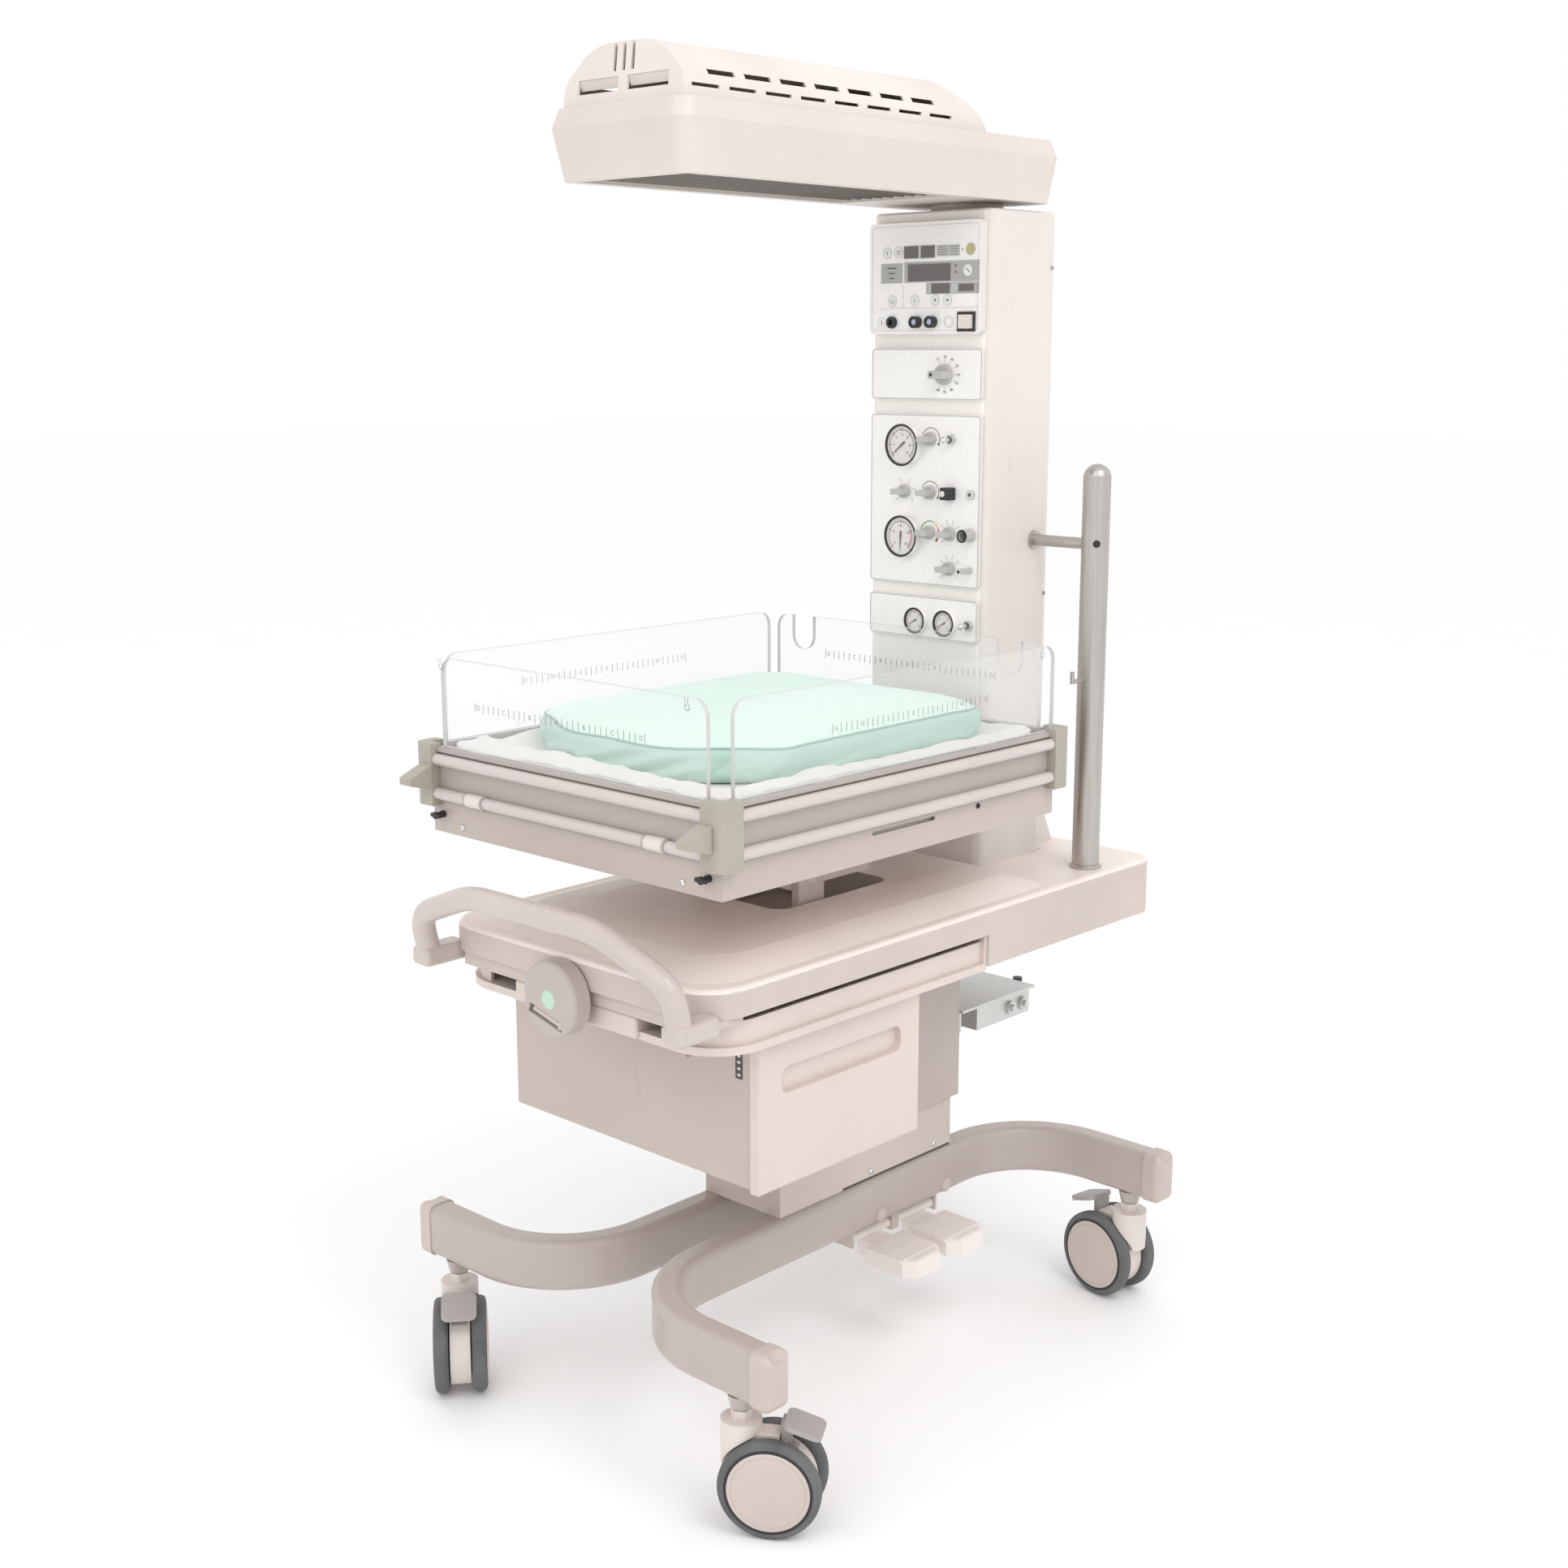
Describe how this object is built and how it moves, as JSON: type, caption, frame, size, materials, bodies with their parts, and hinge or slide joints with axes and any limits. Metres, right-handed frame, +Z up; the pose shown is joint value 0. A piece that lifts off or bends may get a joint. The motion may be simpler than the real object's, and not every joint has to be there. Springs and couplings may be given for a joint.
{
  "type": "infant radiant warmer",
  "caption": "Infant radiant warmer on casters: lifting column, tilting bassinet with clear walls and mattress, control tower, swivelling heater hood, side drawer.",
  "frame": {"origin": "on the floor, in the plane of symmetry, 490 mm ahead of the deck's rear edge", "axes": "+Z up; -Y towards the push handle (the front); +X towards the drawer's pull side"},
  "size_m": [0.6949, 0.9758, 1.714],
  "materials": {
    "cream_paint": "satin cream powder coat",
    "cream_plastic": "fine matte cream moulding",
    "leg_paint": "semi-gloss warm grey enamel",
    "handle_grey": "smooth warm grey",
    "post_grey": "matte grey-green",
    "rail_alloy": "satin extrusion",
    "clear_acrylic": "clear cast sheet",
    "pad_cloth": "soft white woven cover",
    "mattress_cloth": "mint coated cloth",
    "tyre_rubber": "dark grey soft tread",
    "caster_plastic": "white moulding",
    "pedal_grey": "ribbed grey",
    "fascia_grey": "light grey printed panel",
    "black_plastic": "matte black",
    "knob_white": "white moulding",
    "bright_steel": "polished plating",
    "pole_steel": "brushed along its length",
    "yoke_alloy": "cast and machined",
    "heater_steel": "heat-stained"
  },
  "bodies": {
    "base": {"legs": "leg_paint", "leg_end_caps": "cream_plastic", "lower_column": "cream_paint"},
    "carriage": {"upper_column": "cream_paint", "deck": "cream_plastic", "under_shelf": "cream_plastic", "push_handle": "handle_grey", "tilt_gearbox": "cream_plastic", "column_housing": "cream_plastic", "fascia_panels": "fascia_grey", "gauge_cases": "black_plastic", "panel_sockets": "black_plastic", "accessory_pole": "pole_steel", "gas_yoke": "yoke_alloy"},
    "hood": {"hood_shell": "cream_plastic", "hood_cover": "cream_plastic", "heater_grille": "heater_steel", "heater_element": "heater_steel"},
    "drawer": {"drawer_box": "cream_plastic", "drawer_front": "cream_plastic"},
    "bassinet": {"tilt_pedestal": "cream_plastic", "bassinet_tray": "cream_plastic", "side_rails": "rail_alloy", "corner_posts": "post_grey", "base_pad": "pad_cloth", "mattress": "mattress_cloth"},
    "tilt_wheel": {"tilt_wheel": "post_grey"},
    "crank_grip": {"crank_grip": "handle_grey"},
    "caster_fork_fl": {"caster_fork_fl": "caster_plastic"},
    "caster_wheels_fl": {"caster_wheels_fl": "tyre_rubber"},
    "brake_pedal_fl": {"brake_pedal_fl": "pedal_grey"},
    "caster_fork_fr": {"caster_fork_fr": "caster_plastic"},
    "caster_wheels_fr": {"caster_wheels_fr": "tyre_rubber"},
    "brake_pedal_fr": {"brake_pedal_fr": "pedal_grey"},
    "caster_fork_rl": {"caster_fork_rl": "caster_plastic"},
    "caster_wheels_rl": {"caster_wheels_rl": "tyre_rubber"},
    "brake_pedal_rl": {"brake_pedal_rl": "pedal_grey"},
    "caster_fork_rr": {"caster_fork_rr": "caster_plastic"},
    "caster_wheels_rr": {"caster_wheels_rr": "tyre_rubber"},
    "brake_pedal_rr": {"brake_pedal_rr": "pedal_grey"},
    "foot_pedal_raise": {"foot_pedal_raise": "pedal_grey"},
    "foot_pedal_lower": {"foot_pedal_lower": "pedal_grey"},
    "panel_front": {"panel_front": "clear_acrylic"},
    "panel_right": {"panel_right": "clear_acrylic"},
    "panel_left": {"panel_left": "clear_acrylic"},
    "panel_rear": {"panel_rear": "clear_acrylic"},
    "latch_left": {"latch_left": "post_grey"},
    "latch_right": {"latch_right": "post_grey"},
    "knob_blender": {"knob_blender": "knob_white"},
    "knob_suction": {"knob_suction": "knob_white"},
    "knob_breath_rate": {"knob_breath_rate": "knob_white"},
    "knob_breath_pressure": {"knob_breath_pressure": "knob_white"},
    "knob_airway": {"knob_airway": "knob_white"},
    "knob_flow_upper": {"knob_flow_upper": "knob_white"},
    "knob_flow_lower": {"knob_flow_lower": "knob_white"},
    "breath_selector": {"breath_selector": "knob_white"},
    "suction_toggle": {"suction_toggle": "bright_steel"},
    "supply_toggle": {"supply_toggle": "bright_steel"},
    "power_rocker": {"power_rocker": "knob_white"},
    "yoke_screw": {"yoke_screw": "black_plastic"}
  },
  "joints": [
    {"name": "carriage_joint", "type": "slide", "parent": "base", "child": "carriage", "axis": [0, 0, 1], "range_m": [0, 0.2]},
    {"name": "drawer_joint", "type": "slide", "parent": "carriage", "child": "drawer", "axis": [1, 0, 0], "range_m": [0, 0.33]},
    {"name": "bassinet_joint", "type": "hinge", "parent": "carriage", "child": "bassinet", "pos_m": [0, -0.085, 0.706], "axis": [1, 0, 0], "range_deg": [-8, 8]},
    {"name": "tilt_wheel_joint", "type": "hinge", "parent": "carriage", "child": "tilt_wheel", "pos_m": [0, -0.43, 0.606], "axis": [0, 1, 0], "range_deg": [-365, 365]},
    {"name": "crank_grip_joint", "type": "hinge", "parent": "tilt_wheel", "child": "crank_grip", "pos_m": [0.01845, -0.442, 0.57666], "axis": [0.2419, 0, 0.9703], "range_deg": [0, 90]},
    {"name": "hood_joint", "type": "hinge", "parent": "carriage", "child": "hood", "pos_m": [0, 0.336, 1.559], "axis": [0, 0, 1], "range_deg": [-90, 90]},
    {"name": "caster_fork_fl_joint", "type": "hinge", "parent": "base", "child": "caster_fork_fl", "pos_m": [-0.2665, -0.392, 0.13], "axis": [0, 0, 1], "continuous": true},
    {"name": "caster_wheels_fl_joint", "type": "hinge", "parent": "caster_fork_fl", "child": "caster_wheels_fl", "pos_m": [-0.23697, -0.41591, 0.0625], "axis": [0.6293, 0.7771, 0], "continuous": true},
    {"name": "brake_pedal_fl_joint", "type": "hinge", "parent": "caster_fork_fl", "child": "brake_pedal_fl", "pos_m": [-0.22376, -0.42661, 0.1125], "axis": [0.6293, 0.7771, 0], "range_deg": [0, 6]},
    {"name": "caster_fork_fr_joint", "type": "hinge", "parent": "base", "child": "caster_fork_fr", "pos_m": [0.2665, -0.392, 0.13], "axis": [0, 0, 1], "continuous": true},
    {"name": "caster_wheels_fr_joint", "type": "hinge", "parent": "caster_fork_fr", "child": "caster_wheels_fr", "pos_m": [0.29837, -0.3713, 0.0625], "axis": [-0.5446, 0.8387, 0], "continuous": true},
    {"name": "brake_pedal_fr_joint", "type": "hinge", "parent": "caster_fork_fr", "child": "brake_pedal_fr", "pos_m": [0.31263, -0.36205, 0.1125], "axis": [-0.5446, 0.8387, 0], "range_deg": [0, 6]},
    {"name": "caster_fork_rl_joint", "type": "hinge", "parent": "base", "child": "caster_fork_rl", "pos_m": [-0.2665, 0.423, 0.13], "axis": [0, 0, 1], "continuous": true},
    {"name": "caster_wheels_rl_joint", "type": "hinge", "parent": "caster_fork_rl", "child": "caster_wheels_rl", "pos_m": [-0.22887, 0.42829, 0.0625], "axis": [-0.1392, 0.9903, 0], "continuous": true},
    {"name": "brake_pedal_rl_joint", "type": "hinge", "parent": "caster_fork_rl", "child": "brake_pedal_rl", "pos_m": [-0.21204, 0.43066, 0.1125], "axis": [-0.1392, 0.9903, 0], "range_deg": [0, 6]},
    {"name": "caster_fork_rr_joint", "type": "hinge", "parent": "base", "child": "caster_fork_rr", "pos_m": [0.2665, 0.423, 0.13], "axis": [0, 0, 1], "continuous": true},
    {"name": "caster_wheels_rr_joint", "type": "hinge", "parent": "caster_fork_rr", "child": "caster_wheels_rr", "pos_m": [0.22897, 0.42894, 0.0625], "axis": [-0.1564, -0.9877, 0], "continuous": true},
    {"name": "brake_pedal_rr_joint", "type": "hinge", "parent": "caster_fork_rr", "child": "brake_pedal_rr", "pos_m": [0.21218, 0.4316, 0.1125], "axis": [-0.1564, -0.9877, 0], "range_deg": [0, 6]},
    {"name": "foot_pedal_raise_joint", "type": "hinge", "parent": "base", "child": "foot_pedal_raise", "pos_m": [0.052, 0.085, 0.15], "axis": [0, 1, 0], "range_deg": [0, 8], "stiffness_Nm_per_rad": 3, "springref_deg": -14.9},
    {"name": "foot_pedal_lower_joint", "type": "hinge", "parent": "base", "child": "foot_pedal_lower", "pos_m": [0.052, 0.181, 0.15], "axis": [0, 1, 0], "range_deg": [0, 8], "stiffness_Nm_per_rad": 3, "springref_deg": -14.9},
    {"name": "panel_front_joint", "type": "hinge", "parent": "bassinet", "child": "panel_front", "pos_m": [0, -0.4205, 0.8845], "axis": [1, 0, 0], "range_deg": [0, 180]},
    {"name": "panel_right_joint", "type": "hinge", "parent": "bassinet", "child": "panel_right", "pos_m": [0.2685, -0.1, 0.8845], "axis": [0, 1, 0], "range_deg": [0, 180]},
    {"name": "panel_left_joint", "type": "hinge", "parent": "bassinet", "child": "panel_left", "pos_m": [-0.2685, -0.1, 0.8845], "axis": [0, -1, 0], "range_deg": [0, 180]},
    {"name": "panel_rear_joint", "type": "slide", "parent": "bassinet", "child": "panel_rear", "axis": [0, 0, 1], "range_m": [0, 0.1]},
    {"name": "latch_left_joint", "type": "hinge", "parent": "bassinet", "child": "latch_left", "pos_m": [-0.25, -0.428, 0.826], "axis": [1, 0, 0], "range_deg": [0, 20], "stiffness_Nm_per_rad": 0.5, "springref_deg": -12.03},
    {"name": "latch_right_joint", "type": "hinge", "parent": "bassinet", "child": "latch_right", "pos_m": [0.25, -0.428, 0.826], "axis": [1, 0, 0], "range_deg": [0, 20], "stiffness_Nm_per_rad": 0.5, "springref_deg": -12.03},
    {"name": "knob_blender_joint", "type": "hinge", "parent": "carriage", "child": "knob_blender", "pos_m": [0.033, 0.251, 1.337], "axis": [0, 1, 0], "range_deg": [-135, 135]},
    {"name": "knob_suction_joint", "type": "hinge", "parent": "carriage", "child": "knob_suction", "pos_m": [0.011, 0.251, 1.25], "axis": [0, 1, 0], "range_deg": [-135, 135]},
    {"name": "knob_breath_rate_joint", "type": "hinge", "parent": "carriage", "child": "knob_breath_rate", "pos_m": [-0.034, 0.251, 1.177], "axis": [0, 1, 0], "range_deg": [-135, 135]},
    {"name": "knob_breath_pressure_joint", "type": "hinge", "parent": "carriage", "child": "knob_breath_pressure", "pos_m": [0.011, 0.251, 1.177], "axis": [0, 1, 0], "range_deg": [-135, 135]},
    {"name": "knob_airway_joint", "type": "hinge", "parent": "carriage", "child": "knob_airway", "pos_m": [0.011, 0.251, 1.122], "axis": [0, 1, 0], "range_deg": [-135, 135]},
    {"name": "knob_flow_upper_joint", "type": "hinge", "parent": "carriage", "child": "knob_flow_upper", "pos_m": [0.047, 0.251, 1.122], "axis": [0, 1, 0], "range_deg": [-150, 150]},
    {"name": "knob_flow_lower_joint", "type": "hinge", "parent": "carriage", "child": "knob_flow_lower", "pos_m": [0.047, 0.251, 1.074], "axis": [0, 1, 0], "range_deg": [-150, 150]},
    {"name": "breath_selector_joint", "type": "hinge", "parent": "carriage", "child": "breath_selector", "pos_m": [0.047, 0.2505, 1.177], "axis": [0, 1, 0], "range_deg": [-45, 45]},
    {"name": "suction_toggle_joint", "type": "hinge", "parent": "carriage", "child": "suction_toggle", "pos_m": [0.047, 0.254, 1.25], "axis": [1, 0, 0], "range_deg": [-10, 10]},
    {"name": "supply_toggle_joint", "type": "hinge", "parent": "carriage", "child": "supply_toggle", "pos_m": [0.083, 0.254, 0.998], "axis": [1, 0, 0], "range_deg": [-10, 10]},
    {"name": "power_rocker_joint", "type": "hinge", "parent": "carriage", "child": "power_rocker", "pos_m": [0.074, 0.245, 1.407], "axis": [0, 0, 1], "range_deg": [-6, 6]},
    {"name": "yoke_screw_joint", "type": "hinge", "parent": "carriage", "child": "yoke_screw", "pos_m": [0.045, 0.4, 0.4205], "axis": [0, 1, 0], "continuous": true}
  ],
  "couplings": [
    {"joint": "tilt_wheel_joint", "follows": "bassinet_joint", "ratio": 45}
  ]
}
